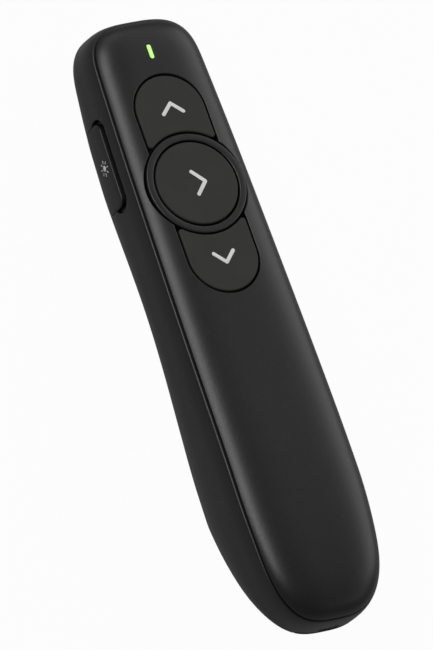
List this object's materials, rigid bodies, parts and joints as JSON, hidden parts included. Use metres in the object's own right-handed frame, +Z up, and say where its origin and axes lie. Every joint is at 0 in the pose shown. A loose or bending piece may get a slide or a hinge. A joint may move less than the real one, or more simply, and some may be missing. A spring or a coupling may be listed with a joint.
{
  "type": "wireless presentation clicker",
  "caption": "Hand-held wireless presentation clicker: slim arched black body, deck keys with a ring, side laser key, power slide, battery door and pull-out USB receiver.",
  "frame": {"origin": "on the table under the middle of the body's box", "axes": "+X to the right of the keys, +Y towards the head (laser) end, +Z up, with the body lying on its belly"},
  "size_m": [0.0318, 0.138, 0.0265],
  "materials": {
    "shell_black": "fine spark-eroded satin",
    "key_black": "matte",
    "light_green": "clear moulded light pipe, lit green",
    "led_white": "clear resin",
    "board_green": "solder mask",
    "chip_black": "moulded epoxy",
    "metal_can": "stamped tin plate",
    "plunger_black": "matte",
    "window_red": "dark red tinted",
    "barrel_brass": "turned",
    "lens_clear": "clear",
    "cell_wrap": "printed shrink sleeve over steel",
    "contact_nickel": "nickel plated spring steel",
    "plug_steel": "stamped steel",
    "tongue_white": "moulded white",
    "screw_steel": "black zinc"
  },
  "bodies": {
    "housing": {"top_shell": "shell_black", "bottom_shell": "shell_black", "key_frame": "shell_black", "light_pipe": "light_green", "status_led": "led_white", "main_board": "board_green", "radio_chip": "chip_black", "crystal_can": "metal_can", "next_switch": "metal_can", "up_switch": "metal_can", "down_switch": "metal_can", "laser_switch": "chip_black", "power_switch": "metal_can", "laser_window": "window_red", "laser_barrel": "barrel_brass", "laser_lens": "lens_clear", "laser_driver": "board_green", "battery_cell": "cell_wrap", "battery_spring": "contact_nickel", "negative_contact": "contact_nickel", "positive_contact": "contact_nickel", "case_screws": "screw_steel", "board_screws": "screw_steel"},
    "battery_door": {"battery_door": "shell_black"},
    "next_key": {"next_button": "key_black", "next_plunger": "plunger_black"},
    "up_key": {"up_button": "key_black", "up_plunger": "plunger_black"},
    "down_key": {"down_button": "key_black", "down_plunger": "plunger_black"},
    "laser_key": {"laser_button": "key_black", "laser_plunger": "plunger_black"},
    "power_slide": {"power_slider": "key_black", "power_lever": "plunger_black"},
    "receiver": {"receiver_grip": "key_black", "receiver_plug": "plug_steel", "receiver_tongue": "tongue_white"}
  },
  "joints": [
    {"name": "next_press", "type": "slide", "parent": "housing", "child": "next_key", "axis": [0, -0.0698, -0.9976], "range_m": [0, 0.00035], "stiffness_N_per_m": 400},
    {"name": "up_press", "type": "slide", "parent": "housing", "child": "up_key", "axis": [0, -0.0698, -0.9976], "range_m": [0, 0.00035], "stiffness_N_per_m": 400},
    {"name": "down_press", "type": "slide", "parent": "housing", "child": "down_key", "axis": [0, -0.0698, -0.9976], "range_m": [0, 0.00035], "stiffness_N_per_m": 400},
    {"name": "laser_press", "type": "slide", "parent": "housing", "child": "laser_key", "axis": [1, 0, 0], "range_m": [0, 0.00035], "stiffness_N_per_m": 400},
    {"name": "power_slide", "type": "slide", "parent": "housing", "child": "power_slide", "axis": [0, -0.9976, 0.0698], "range_m": [0, 0.0025]},
    {"name": "battery_door_hinge", "type": "hinge", "parent": "housing", "child": "battery_door", "pos_m": [0, -0.0034, 0.00355], "axis": [1, 0, 0], "range_deg": [0, 70]},
    {"name": "receiver_pull", "type": "slide", "parent": "housing", "child": "receiver", "axis": [0, -1, 0], "range_m": [0, 0.02]}
  ]
}
